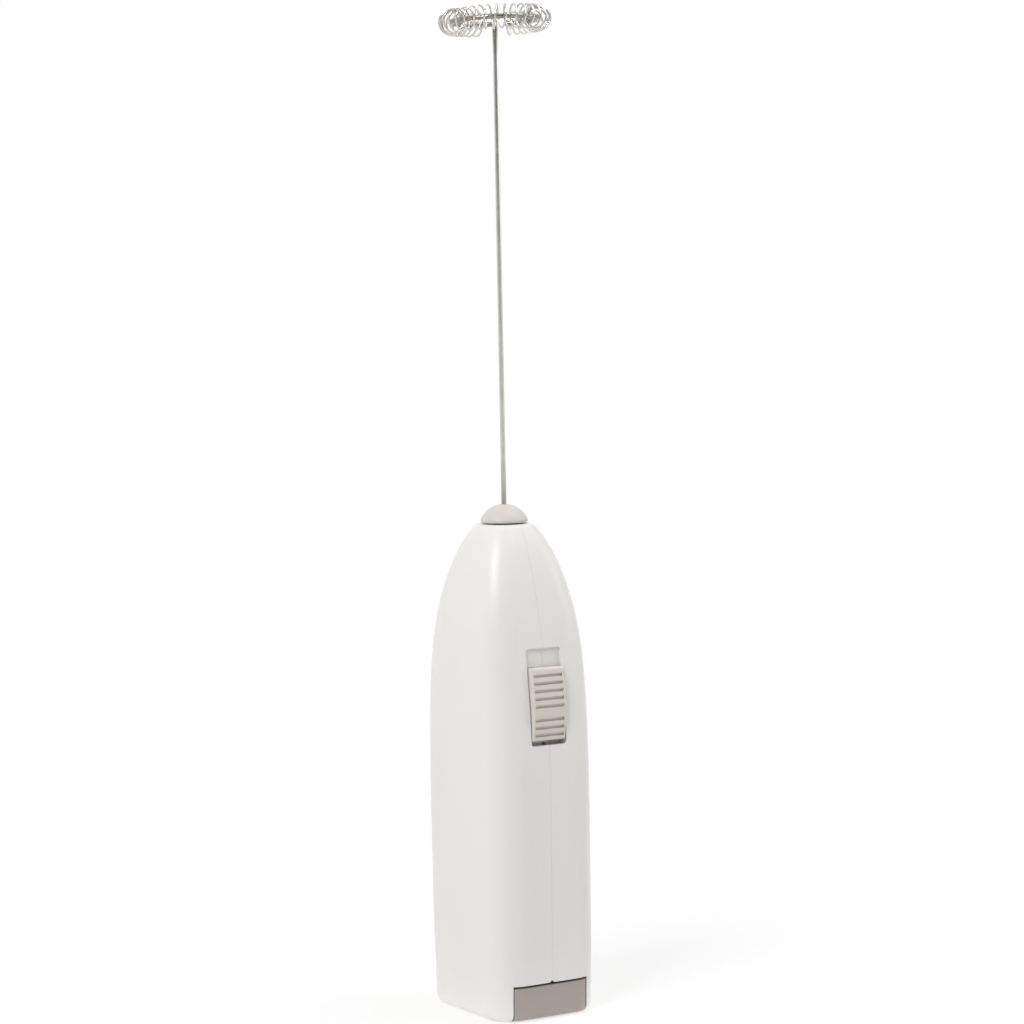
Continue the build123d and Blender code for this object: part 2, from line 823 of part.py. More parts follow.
segment_bore = commutator_radius - commutator_wall
with BuildPart() as commutator_core:
    upright(segment_bore, commutator_low, commutator_high)
    upright(shaft_diameter / 2, commutator_low, commutator_high, Mode.SUBTRACT)

with BuildPart() as commutator_segments:
    with BuildSketch(Plane.XY.offset(commutator_low)):
        Circle(commutator_radius)
        Circle(segment_bore, mode=Mode.SUBTRACT)
        with PolarLocations(commutator_radius, 3, start_angle=60):
            Rectangle(2 * commutator_radius, commutator_slot, mode=Mode.SUBTRACT)
    extrude(amount=commutator_length)

# Dome over the nose, with the hub that joins the rod to the motor's shaft
dome_low = nose_height + dome_gap
dome_high = dome_low + dome_height
rod_low = dome_high - rod_in_hub
rim_point = Vector(dome_radius, dome_low + dome_rim)
crown_point = Vector(dome_top_radius, dome_high)
with BuildPart() as whisk_coupling:
    with BuildSketch(Plane.XZ):
        with BuildLine():
            Polyline(
                crown_point,
                (0, dome_high),
                (0, hub_low),
                (hub_diameter / 2, hub_low),
                (hub_diameter / 2, dome_low),
                (dome_radius, dome_low),
                rim_point,
            )
            SagittaArc(rim_point, crown_point, -dome_bulge)
        make_face()
    revolve(axis=Axis.Z)
    dome_underside = whisk_coupling.faces().filter_by(Plane.XY).sort_by(SortBy.AREA)[-1]
    fillet(dome_underside.outer_wire().edges(), dome_edge_round)
    upright(shaft_diameter / 2, hub_low, shaft_top, Mode.SUBTRACT)
    upright(rod_diameter / 2, rod_low, dome_high, Mode.SUBTRACT)

# Rod: one wire that runs up, turns out along a spoke and closes into the ring
spoke = Vector(cos(radians(spoke_heading)), sin(radians(spoke_heading)), 0)
across = spoke.cross(Vector(0, 0, 1))
ring_normal = Vector(0, 0, 1) * cos(radians(ring_tilt)) - across * sin(radians(ring_tilt))
ring_height = overall_height - coil_diameter / 2 - ring_radius * sin(radians(ring_tilt))
ring_plane = Plane(origin=(0, 0, ring_height), x_dir=spoke, z_dir=ring_normal)
bend_run = sqrt((ring_radius - ring_bend) ** 2 - ring_bend**2)
ring_first = degrees(atan2(ring_bend, bend_run))
ring_last = 360 - ring_end_gap


def on_ring(angle, radius=ring_radius, rise=0.0):
    """A point by its angle round the whisk's ring, in degrees, its radius and its rise off the plane."""
    turn = radians(angle)
    return ring_plane.from_local_coords(Vector(radius * cos(turn), radius * sin(turn), rise))


with BuildPart() as whisk_rod:
    with BuildLine():
        turn_out = Vector(0, 0, ring_height - spoke_bend)
        Line((0, 0, rod_low), turn_out)
        TangentArc(turn_out, on_ring(0, spoke_bend), tangent=(0, 0, 1))
        Line(on_ring(0, spoke_bend), on_ring(0, bend_run))
        TangentArc(on_ring(0, bend_run), on_ring(ring_first), tangent=spoke)
        half_way = (ring_first + ring_last) / 2
        ThreePointArc(on_ring(ring_first), on_ring((ring_first + half_way) / 2), on_ring(half_way))
        ThreePointArc(on_ring(half_way), on_ring((half_way + ring_last) / 2), on_ring(ring_last))
    with BuildSketch(Plane.XY.offset(rod_low)):
        Circle(rod_diameter / 2)
    sweep()


# Coil: one wire wound round the ring, with both ends hooked in to the ring's wire
coil_radius = (coil_diameter - coil_wire) / 2


def coil_angle(share):
    """Angle round the ring at a share of the coil's length."""
    return coil_start + (coil_end - coil_start) * share


def coil_line(share):
    """The coil's wire, at a share of its length."""
    turn = 2 * pi * coil_turns * share
    return on_ring(coil_angle(share), ring_radius + coil_radius * cos(turn), coil_radius * sin(turn))


def coil_hook(share, way):
    """Where an end of the coil's wire meets the ring, and where its bend inwards ends."""
    start = coil_line(share)
    leave = heading(coil_line, share) * way
    core = on_ring(coil_angle(share))
    inward = (core - start).normalized()
    lean = asin(coil_hook_radius / (coil_radius - coil_hook_radius))
    centre = start + inward * coil_hook_radius
    bend_end = centre + (inward * sin(lean) + leave * cos(lean)) * coil_hook_radius
    last = inward * cos(lean) - leave * sin(lean)
    return core - last * (rod_diameter / 2), bend_end


first_weld, first_bend = coil_hook(0, -1)
last_weld, last_bend = coil_hook(1, 1)
with BuildPart() as whisk_coil:
    with BuildLine():
        Line(first_weld, first_bend)
        TangentArc(first_bend, coil_line(0), tangent=first_bend - first_weld)
        follow(coil_line, 2 * coil_turns)
        TangentArc(coil_line(1), last_bend, tangent=heading(coil_line, 1))
        Line(last_bend, last_weld)
    with BuildSketch(Plane(origin=first_weld, z_dir=first_bend - first_weld)):
        RegularPolygon(coil_wire / 2, side_count=wire_sides)
    # Each arc keeps its own faces, because merging so many of them is unsafe
    sweep(clean=False)

print("least gap in the whisk coil", round(least_gap(coil_line, coil_turns, coil_wire), 2))
print("least gap in the lid spring", round(least_gap(lid_spring_line, spring_turns, spring_wire), 2))
print("least gap in the deck spring", round(least_gap(deck_spring_line, spring_turns, spring_wire), 2))

pieces = {
    "left_shell": left_shell,
    "right_shell": right_shell,
    "battery_lid": battery_lid,
    "bridge_contact": bridge_contact,
    "lid_spring": lid_spring,
    "cell_front": cell_front,
    "cell_rear": cell_rear,
    "negative_contact": negative_contact,
    "deck_spring": deck_spring,
    "positive_contact": positive_contact,
    "switch_strip": switch_strip,
    "switch_button": switch_button,
    "switch_wiper": switch_wiper,
    "motor_can": motor_can,
    "motor_front_bush": motor_front_bush,
    "motor_end_bell": motor_end_bell,
    "motor_rear_bush": motor_rear_bush,
    "motor_magnet_front": motor_magnet_front,
    "motor_magnet_rear": motor_magnet_rear,
    "motor_brush_front": motor_brush_front,
    "motor_brush_rear": motor_brush_rear,
    "motor_shaft": motor_shaft,
    "rotor_stack": rotor_stack,
    "rotor_windings": rotor_windings,
    "commutator_core": commutator_core,
    "commutator_segments": commutator_segments,
    "whisk_coupling": whisk_coupling,
    "whisk_rod": whisk_rod,
    "whisk_coil": whisk_coil,
}
os.makedirs("parts", exist_ok=True)
for name, piece in pieces.items():
    piece.part.label = name
    export_step(piece.part, f"parts/{name}.step")
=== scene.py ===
from math import asin, cos, pi, radians, sin

import bpy
from mathutils import Matrix, Vector


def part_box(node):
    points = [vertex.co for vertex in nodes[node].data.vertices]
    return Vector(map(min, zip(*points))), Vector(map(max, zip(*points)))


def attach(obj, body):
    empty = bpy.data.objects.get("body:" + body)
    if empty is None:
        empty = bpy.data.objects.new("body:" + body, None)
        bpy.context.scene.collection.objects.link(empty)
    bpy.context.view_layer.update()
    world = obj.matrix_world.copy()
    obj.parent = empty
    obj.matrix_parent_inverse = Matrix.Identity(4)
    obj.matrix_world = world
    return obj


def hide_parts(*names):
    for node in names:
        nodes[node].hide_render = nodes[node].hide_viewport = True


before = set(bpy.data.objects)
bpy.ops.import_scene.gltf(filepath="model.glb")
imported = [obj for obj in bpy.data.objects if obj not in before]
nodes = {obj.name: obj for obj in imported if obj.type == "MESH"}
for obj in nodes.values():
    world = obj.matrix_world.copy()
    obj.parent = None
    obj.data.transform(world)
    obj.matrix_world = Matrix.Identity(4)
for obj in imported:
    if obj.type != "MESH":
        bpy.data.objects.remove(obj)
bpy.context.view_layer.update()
MM = 0.001

# Camera fitted to the photograph, in degrees, millimetres and pixels
CAMERA_AZIMUTH = -31.28
CAMERA_ELEVATION = 3.998
CAMERA_ROLL = -1.08
CAMERA_DISTANCE = 660.735
CAMERA_ASIDE = 1.738
CAMERA_AIM = 109.719
CAMERA_FOCUS = 3005.322
PICTURE_WIDTH = 1024
SENSOR_WIDTH = 36.0

# Colours, as linear red, green and blue
WHITE = (0.80, 0.79, 0.768)
GREY_BROWN = (0.396, 0.348, 0.322)
BEIGE = (0.685, 0.642, 0.585)
# The dome's beige: a little greyer than BEIGE in its own colour, and darker as painted shade against the top
# light that falls on it
DOME_BEIGE = (0.64, 0.603, 0.552)
MOTOR_CREAM = (0.68, 0.65, 0.57)
ROD_STEEL = (0.68, 0.662, 0.63)
COIL_STEEL = (0.72, 0.70, 0.67)
CONTACT_METAL = (0.68, 0.66, 0.60)
CAN_STEEL = (0.58, 0.58, 0.57)
COPPER = (0.75, 0.42, 0.25)
BRONZE = (0.5, 0.32, 0.16)
FERRITE = (0.05, 0.05, 0.055)
CORE_STEEL = (0.38, 0.38, 0.39)
CORE_GAP = (0.10, 0.10, 0.11)
ENAMEL = (0.50, 0.18, 0.07)
ENAMEL_GAP = (0.10, 0.03, 0.015)
CELL_JACKET = (0.10, 0.16, 0.20)
CELL_END = (0.62, 0.61, 0.58)
# Painted shade for the whisk's ring and the rod's foot, standing in for darker reflections
REFLECTION_SHADE = (0.33, 0.303, 0.266)

# Range in which most values of a noise texture lie
NOISE_LOW = 0.3
NOISE_HIGH = 0.7

# Sockets of a Mix node: first input, second input and result
MIX_SOCKETS = {"FLOAT": (2, 3, 0), "RGBA": (6, 7, 2)}


def new_material(name):
    """A material with its node tree emptied down to one Principled shader."""
    material = bpy.data.materials.new(name)
    material.use_nodes = True
    tree = material.node_tree
    tree.nodes.clear()
    output = tree.nodes.new("ShaderNodeOutputMaterial")
    shader = tree.nodes.new("ShaderNodeBsdfPrincipled")
    tree.links.new(shader.outputs["BSDF"], output.inputs["Surface"])
    return material, tree, shader


def place(tree, stretch=(1.0, 1.0, 1.0)):
    """Object coordinates, scaled along each axis."""
    coordinates = tree.nodes.new("ShaderNodeTexCoord")
    mapping = tree.nodes.new("ShaderNodeMapping")
    mapping.inputs["Scale"].default_value = stretch
    tree.links.new(coordinates.outputs["Object"], mapping.inputs["Vector"])
    return mapping.outputs["Vector"]


def noise(tree, vector, scale, detail):
    """Noise at a scale per metre."""
    node = tree.nodes.new("ShaderNodeTexNoise")
    node.inputs["Scale"].default_value = scale
    node.inputs["Detail"].default_value = detail
    tree.links.new(vector, node.inputs["Vector"])
    return node.outputs["Fac"]


def span(tree, value, low=0.0, high=1.0, start=NOISE_LOW, end=NOISE_HIGH):
    """A number that goes from low to high as a value goes from start to end, and stops at both."""
    node = tree.nodes.new("ShaderNodeMapRange")
    node.inputs["From Min"].default_value = start
    node.inputs["From Max"].default_value = end
    node.inputs["To Min"].default_value = low
    node.inputs["To Max"].default_value = high
    tree.links.new(value, node.inputs["Value"])
    return node.outputs["Result"]


def combine(tree, operation, first, second):
    """A number worked out from two others."""
    node = tree.nodes.new("ShaderNodeMath")
    node.operation = operation
    tree.links.new(first, node.inputs[0])
    tree.links.new(second, node.inputs[1])
    return node.outputs[0]


def band(tree, low, high, edge):
    """A share that is 1 between two heights and falls to 0 over an edge outside them, in metres."""
    parts = tree.nodes.new("ShaderNodeSeparateXYZ")
    tree.links.new(place(tree), parts.inputs["Vector"])
    rise = span(tree, parts.outputs["Z"], 0.0, 1.0, start=low - edge, end=low)
    fall = span(tree, parts.outputs["Z"], 1.0, 0.0, start=high, end=high + edge)
    return combine(tree, "MULTIPLY", rise, fall)


def blend(tree, factor, first, second, kind="RGBA"):
    """A colour, or a number, that goes from the first to the second as a factor goes from 0 to 1."""
    node = tree.nodes.new("ShaderNodeMix")
    node.data_type = kind
    tree.links.new(factor, node.inputs[0])
    first_socket, second_socket, result = MIX_SOCKETS[kind]
    for socket, value in ((node.inputs[first_socket], first), (node.inputs[second_socket], second)):
        if isinstance(value, tuple):
            socket.default_value = (*value, 1.0)
        elif isinstance(value, float):
            socket.default_value = value
        else:
            tree.links.new(value, socket)
    return node.outputs[result]


def choose(tree, flag, yes, no):
    """One number where a flag is up, another where it isn't."""
    return blend(tree, flag, no, yes, kind="FLOAT")


def shade(colour, factor):
    """A colour made lighter or darker."""
    return tuple(min(1.0, channel * factor) for channel in colour)


def coat(tree, shader, tone, unevenness, rough, less, more):
    """Give a shader its colour, and a roughness that varies by less and more with some noise."""
    tree.links.new(tone, shader.inputs["Base Color"])
    tree.links.new(span(tree, unevenness, rough - less, rough + more), shader.inputs["Roughness"])


def bump(tree, shader, layers):
    """Stack bumps from (height, strength, depth in metres) onto a shader."""
    normal = None
    for height, strength, depth in layers:
        node = tree.nodes.new("ShaderNodeBump")
        node.inputs["Strength"].default_value = strength
        node.inputs["Distance"].default_value = depth
        tree.links.new(height, node.inputs["Height"])
        if normal is not None:
            tree.links.new(normal, node.inputs["Normal"])
        normal = node.outputs["Normal"]
    tree.links.new(normal, shader.inputs["Normal"])


# Moulded plastic: how far its flow marks are drawn out along Z, how much its specks show, and its gloss
FLOW_STRETCH = (1.0, 1.0, 0.35)
SPECK_SHARE = 0.035
PLASTIC_SPECULAR = 0.4


def plastic(name, colour, rough, gap_shade=None):
    """Moulded plastic: flow marks, fine specks, slightly uneven gloss, and painted shade in a band of height.
    """
    material, tree, shader = new_material(name)
    flow = noise(tree, place(tree, FLOW_STRETCH), scale=60.0, detail=4.0)
    grain = noise(tree, place(tree), scale=2600.0, detail=2.0)
    wear = noise(tree, place(tree), scale=240.0, detail=5.0)
    deep = shade(colour, 0.985)
    pale = shade(colour, 1.01)
    speck = shade(colour, 0.6)
    gap_dark = shade(colour, 0.18)
    tone = blend(tree, span(tree, flow), deep, pale)
    tone = blend(tree, span(tree, grain, high=SPECK_SHARE), tone, speck)
    # Painted shade: a dark band of height
    if gap_shade:
        tone = blend(tree, band(tree, *gap_shade), tone, gap_dark)
    coat(tree, shader, tone, wear, rough, less=0.04, more=0.05)
    shader.inputs["Specular IOR Level"].default_value = PLASTIC_SPECULAR
    bump(tree, shader, [(grain, 0.10, 0.03 * MM), (wear, 0.03, 0.1 * MM)])
    return material


# Metal: how far its lines are drawn out along Z, and how much they show
DRAWN_STRETCH = (1.0, 1.0, 0.06)
LINE_SHARE = 0.3


def metal(name, colour, rough, wound=False, shade_bands=()):
    """Bare metal: lines along Z, or an even grain on wound wire, tarnish, and painted shade in bands of
    height.
    """
    material, tree, shader = new_material(name)
    if wound:
        lines = noise(tree, place(tree), scale=2500.0, detail=3.0)
    else:
        lines = noise(tree, place(tree, DRAWN_STRETCH), scale=3000.0, detail=3.0)
    cloud = noise(tree, place(tree), scale=300.0, detail=4.0)
    tarnish = shade(colour, 0.85)
    furrow = shade(colour, 0.75)
    tone = blend(tree, span(tree, cloud), tarnish, colour)
    tone = blend(tree, span(tree, lines, high=LINE_SHARE), tone, furrow)
    # Painted shade in each band of height
    for shade_band in shade_bands:
        tone = blend(tree, band(tree, *shade_band), tone, REFLECTION_SHADE)
    coat(tree, shader, tone, lines, rough, less=0.06, more=0.08)
    shader.inputs["Metallic"].default_value = 1.0
    bump(tree, shader, [(lines, 0.04, 0.02 * MM)])
    return material


# Bands: radians in each metre of a wave texture of scale 1, its waviness, and how much soiling shows
WAVE_TURN = 20.0
WAVE_DISTORTION = 0.4
SOIL_SHARE = 0.35


def banded(name, colour, gap, pitch, metallic, rough):
    """Stacked sheets or wound wire: bands across Z at a pitch in metres, with darker gaps."""
    material, tree, shader = new_material(name)
    wave = tree.nodes.new("ShaderNodeTexWave")
    wave.bands_direction = "Z"
    wave.inputs["Scale"].default_value = 2 * pi / (WAVE_TURN * pitch)
    wave.inputs["Distortion"].default_value = WAVE_DISTORTION
    tree.links.new(place(tree), wave.inputs["Vector"])
    cloud = noise(tree, place(tree), scale=500.0, detail=4.0)
    soiled = shade(colour, 0.6)
    tone = blend(tree, wave.outputs["Fac"], gap, colour)
    tone = blend(tree, span(tree, cloud, high=SOIL_SHARE), tone, soiled)
    coat(tree, shader, tone, cloud, rough, less=0.05, more=0.08)
    shader.inputs["Metallic"].default_value = metallic
    bump(tree, shader, [(wave.outputs["Fac"], 0.4, pitch / 4)])
    return material


# Pressed powder: pores in each metre, a pore's reach as a share of their spacing, and how much its dark shows
PORE_SCALE = 3500.0
PORE_SIZE = 0.35
PORE_SHARE = 0.5


def sintered(name, colour, metallic, rough):
    """Pressed powder: a grainy face with small dark pores."""
    material, tree, shader = new_material(name)
    pores = tree.nodes.new("ShaderNodeTexVoronoi")
    pores.inputs["Scale"].default_value = PORE_SCALE
    tree.links.new(place(tree), pores.inputs["Vector"])
    cloud = noise(tree, place(tree), scale=700.0, detail=5.0)
    dull = shade(colour, 0.8)
    bright = shade(colour, 1.1)
    pore = shade(colour, 0.3)
    tone = blend(tree, span(tree, cloud), dull, bright)
    depth = span(tree, pores.outputs["Distance"], PORE_SHARE, 0.0, start=0.0, end=PORE_SIZE)
    tone = blend(tree, depth, tone, pore)
    coat(tree, shader, tone, cloud, rough, less=0.06, more=0.08)
    shader.inputs["Metallic"].default_value = metallic
    bump(tree, shader, [(pores.outputs["Distance"], 0.3, 0.05 * MM)])
    return material


# Cells: bare length at each end, width of the jacket's edge, and how metallic the jacket looks
CELL_BARE = 2.2 * MM
JACKET_EDGE = 0.1 * MM
JACKET_METALLIC = 0.15


def jacketed_cell(name, node):
    """A plain cell: a smooth jacket between bare steel ends."""
    low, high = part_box(node)
    material, tree, shader = new_material(name)
    wrapped = band(tree, low.z + CELL_BARE, high.z - CELL_BARE, JACKET_EDGE)
    cloud = noise(tree, place(tree), scale=400.0, detail=4.0)
    wrap = blend(tree, span(tree, cloud), shade(CELL_JACKET, 0.92), CELL_JACKET)
    bare = blend(tree, span(tree, cloud), shade(CELL_END, 0.85), CELL_END)
    tone = blend(tree, wrapped, bare, wrap)
    coat(tree, shader, tone, cloud, rough=0.33, less=0.05, more=0.05)
    metallic = span(tree, wrapped, 1.0, JACKET_METALLIC, start=0.0, end=1.0)
    tree.links.new(metallic, shader.inputs["Metallic"])
    bump(tree, shader, [(cloud, 0.05, 0.05 * MM), (wrapped, 0.5, 0.1 * MM)])
    return material


# Painted shade along the top edge of the lid's panel, darkening the gap line above it
LID_PANEL_TOP = 7.7 * MM
GAP_SHADE_WIDTH = 0.15 * MM
lid_gap_shade = (LID_PANEL_TOP - GAP_SHADE_WIDTH, LID_PANEL_TOP, GAP_SHADE_WIDTH)

# Painted shade on the whisk's ring and the rod's foot, standing in for darker reflections: depths below the
# top of the ring or the dome, and soft edges
RING_SHADE_DEPTH = 4.0 * MM
RING_SHADE_EDGE = 5.0 * MM
FOOT_SHADE_BOTTOM = 2.5 * MM
FOOT_SHADE_TOP = 1.5 * MM
FOOT_SHADE_EDGE = 12.0 * MM
ring_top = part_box("whisk_rod")[1].z
dome_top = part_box("whisk_coupling")[1].z
ring_shade = (ring_top - RING_SHADE_DEPTH, ring_top, RING_SHADE_EDGE)
foot_shade = (dome_top - FOOT_SHADE_BOTTOM, dome_top - FOOT_SHADE_TOP, FOOT_SHADE_EDGE)

# Pitch of the rotor's sheets and of its wire
SHEET_PITCH = 0.5 * MM
WINDING_PITCH = 0.3 * MM

white_plastic = plastic("white_plastic_look", WHITE, rough=0.32)
# The lid's panel carries a band of painted shade along its top edge
grey_plastic = plastic("grey_plastic_look", GREY_BROWN, rough=0.45, gap_shade=lid_gap_shade)
beige_plastic = plastic("beige_plastic_look", BEIGE, rough=0.45)
# The dome's colour is partly its own greyer beige and partly painted shade
dome_plastic = plastic("dome_plastic_look", DOME_BEIGE, rough=0.45)
motor_plastic = plastic("motor_plastic_look", MOTOR_CREAM, rough=0.5)
contact_metal = metal("contact_metal_look", CONTACT_METAL, rough=0.19)
copper = metal("copper_look", COPPER, rough=0.19)
motor_steel = metal("motor_steel_look", CAN_STEEL, rough=0.36)
# The rod's steel carries painted shade on its ring and at its foot
wire_steel = metal("wire_steel_look", ROD_STEEL, rough=0.19, shade_bands=(ring_shade, foot_shade))
coil_steel = metal("coil_wire_look", COIL_STEEL, rough=0.18, wound=True)
spring_metal = metal("spring_look", CONTACT_METAL, rough=0.19, wound=True)
bronze = sintered("bronze_look", BRONZE, metallic=1.0, rough=0.42)
magnet = sintered("magnet_look", FERRITE, metallic=0.1, rough=0.6)
core_steel = banded("core_steel_look", CORE_STEEL, CORE_GAP, SHEET_PITCH, metallic=1.0, rough=0.4)
enamelled_wire = banded("enamelled_wire_look", ENAMEL, ENAMEL_GAP, WINDING_PITCH, metallic=0.7, rough=0.35)

looks = {
    "left_shell": white_plastic,
    "right_shell": white_plastic,
    "battery_lid": grey_plastic,
    "switch_button": beige_plastic,
    "whisk_coupling": dome_plastic,
    "bridge_contact": contact_metal,
    "negative_contact": contact_metal,
    "positive_contact": contact_metal,
    "switch_strip": contact_metal,
    "switch_wiper": copper,
    "cell_front": jacketed_cell("cell_front_look", "cell_front"),
    "cell_rear": jacketed_cell("cell_rear_look", "cell_rear"),
    "motor_can": motor_steel,
    "motor_front_bush": bronze,
    "motor_rear_bush": bronze,
    "motor_end_bell": motor_plastic,
    "commutator_core": motor_plastic,
    "motor_magnet_front": magnet,
    "motor_magnet_rear": magnet,
    "motor_brush_front": copper,
    "motor_brush_rear": copper,
    "commutator_segments": copper,
    "rotor_windings": enamelled_wire,
    "rotor_stack": core_steel,
    "motor_shaft": wire_steel,
    "whisk_rod": wire_steel,
}
for name, material in looks.items():
    mesh = nodes[name].data
    mesh.materials.clear()
    mesh.materials.append(material)


def add_object(name, data):
    """A new object in the scene."""
    item = bpy.data.objects.new(name, data)
    bpy.context.scene.collection.objects.link(item)
    return item


# Wound wire: points in a turn, sides, and width of a round wire as a share of a six-sided one of its area
POINTS_PER_TURN = 24
WIRE_SIDES = 12
ROUND_SHARE = 0.909


def round_wire(name, points, width):
    """A capped round wire along points, in place of a six-sided wire of some width, in millimetres."""
    radius = ROUND_SHARE * width / 2
    vertices = []
    faces = []
    side = None
    for i, point in enumerate(points):
        ahead = points[min(i + 1, len(points) - 1)]
        behind = points[max(i - 1, 0)]
        along = (ahead - behind).normalized()
        if side is None:
            side = along.orthogonal()
        side = (side - along * side.dot(along)).normalized()
        other = along.cross(side)
        for k in range(WIRE_SIDES):
            turn = 2 * pi * k / WIRE_SIDES
            vertices.append((point + (side * cos(turn) + other * sin(turn)) * radius) * MM)
    for i in range(len(points) - 1):
        ring = i * WIRE_SIDES
        next_ring = ring + WIRE_SIDES
        for k in range(WIRE_SIDES):
            next_k = (k + 1) % WIRE_SIDES
            faces.append((ring + k, ring + next_k, next_ring + next_k, next_ring + k))
    last_ring = (len(points) - 1) * WIRE_SIDES
    faces.append(tuple(reversed(range(WIRE_SIDES))))
    faces.append(tuple(range(last_ring, last_ring + WIRE_SIDES)))
    mesh = bpy.data.meshes.new(name)
    mesh.from_pydata(vertices, [], faces)
    for polygon in mesh.polygons:
        polygon.use_smooth = len(polygon.vertices) < WIRE_SIDES
    mesh.validate()
    return add_object(name, mesh)


# The coil's wire, from the same formula as the CAD solid, in millimetres and degrees
OVERALL_HEIGHT = 220.0
RING_RADIUS = 9.65
RING_TILT = 2.0
SPOKE_HEADING = 59.0
ROD_DIAMETER = 1.1
COIL_DIAMETER = 5.5
COIL_WIRE = 0.45
COIL_TURNS = 30
COIL_START = 17.0
COIL_END = 344.0
HOOK_RADIUS = 0.9
HOOK_STEPS = 8
HOOK_SINK = COIL_WIRE / 4
SLOPE_STEP = 1e-5

up = Vector((0, 0, 1))
spoke = Vector((cos(radians(SPOKE_HEADING)), sin(radians(SPOKE_HEADING)), 0))
ring_normal = up * cos(radians(RING_TILT)) - spoke.cross(up) * sin(radians(RING_TILT))
ring_side = ring_normal.cross(spoke)
ring_centre = up * (OVERALL_HEIGHT - COIL_DIAMETER / 2 - RING_RADIUS * sin(radians(RING_TILT)))
coil_radius = (COIL_DIAMETER - COIL_WIRE) / 2


def on_ring(angle, radius=RING_RADIUS, rise=0.0):
    """A point by its angle round the whisk's ring, its radius and its rise off the ring's plane."""
    turn = radians(angle)
    return ring_centre + spoke * (radius * cos(turn)) + ring_side * (radius * sin(turn)) + ring_normal * rise


def coil_angle(share):
    """The angle round the ring at a share of the coil's length."""
    return COIL_START + (COIL_END - COIL_START) * share


def coil_line(share):
    """The coil's wire at a share of its length."""
    turn = 2 * pi * COIL_TURNS * share
    return on_ring(coil_angle(share), RING_RADIUS + coil_radius * cos(turn), coil_radius * sin(turn))


def coil_hook(share, way):
    """The bend from the coil in to the ring at an end of the wire; way is 1 at its end, -1 at its start."""
    start = coil_line(share)
    leave = (coil_line(share + SLOPE_STEP) - coil_line(share - SLOPE_STEP)).normalized() * way
    core = on_ring(coil_angle(share))
    inward = (core - start).normalized()
    lean = asin(HOOK_RADIUS / (coil_radius - HOOK_RADIUS))
    centre = start + inward * HOOK_RADIUS
    points = []
    for i in range(1, HOOK_STEPS + 1):
        turn = (pi / 2 + lean) * i / HOOK_STEPS
        points.append(centre + (leave * sin(turn) - inward * cos(turn)) * HOOK_RADIUS)
    heading = inward * cos(lean) - leave * sin(lean)
    points.append(core - heading * (ROD_DIAMETER / 2 - HOOK_SINK))
    return points


coil_count = COIL_TURNS * POINTS_PER_TURN
coil_points = list(reversed(coil_hook(0, -1)))
coil_points += [coil_line(i / coil_count) for i in range(coil_count + 1)]
coil_points += coil_hook(1, 1)
coil = round_wire("whisk_coil_wire", coil_points, COIL_WIRE)
coil.data.materials.append(coil_steel)
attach(coil, "whisk")
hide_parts("whisk_coil")

# The conical springs that press on the cells, wound as their CAD solids are, in millimetres
SPRING_WIRE = 0.5
SPRING_BASE_RADIUS = 3.0
SPRING_TIP_RADIUS = 2.1
SPRING_TURNS = 3


def conical_spring(name, node, cell, body, wide_end_low):
    """A spring of round wire in the place of its CAD node, on the axis of a cell."""
    low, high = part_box(node)
    cell_low, cell_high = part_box(cell)
    axis = (cell_low + cell_high) / (2 * MM)
    base = low.z / MM + SPRING_WIRE / 2
    tip = high.z / MM - SPRING_WIRE / 2
    if not wide_end_low:
        base, tip = tip, base
    count = SPRING_TURNS * POINTS_PER_TURN
    points = []
    for i in range(count + 1):
        share = i / count
        turn = 2 * pi * SPRING_TURNS * share
        radius = SPRING_BASE_RADIUS + (SPRING_TIP_RADIUS - SPRING_BASE_RADIUS) * share
        height = base + (tip - base) * share
        points.append(Vector((axis.x + radius * cos(turn), axis.y + radius * sin(turn), height)))
    spring = round_wire(name, points, SPRING_WIRE)
    spring.data.materials.append(spring_metal)
    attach(spring, body)
    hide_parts(node)


conical_spring("lid_spring_wire", "lid_spring", "cell_rear", "lid", wide_end_low=True)
conical_spring("deck_spring_wire", "deck_spring", "cell_front", "handle", wide_end_low=False)

# Directions of the camera that took the photograph: back to it, and right and up in its picture
azimuth = radians(CAMERA_AZIMUTH)
elevation = radians(CAMERA_ELEVATION)
roll = radians(CAMERA_ROLL)
back = Vector((sin(azimuth) * cos(elevation), -cos(azimuth) * cos(elevation), sin(elevation)))
right = Vector((cos(azimuth), sin(azimuth), 0))
over = back.cross(right)
rolled_right = right * cos(roll) + over * sin(roll)
rolled_over = over * cos(roll) - right * sin(roll)

# Floor, in metres
FLOOR_SIZE = 4.0
FLOOR_COLOUR = (0.82, 0.82, 0.815)
FLOOR_ROUGH = 0.9
FLOOR_SEEN_COLOUR = (0.335, 0.335, 0.333)
FLOOR_SEEN_GLOW = 0.65
BASE_GLOW = 0.30
BASE_GLOW_START = 0.022
BASE_GLOW_END = 0.032
FADE_START = 0.04
FADE_END = 0.22
PURE_WHITE = (1.0, 1.0, 1.0, 1.0)


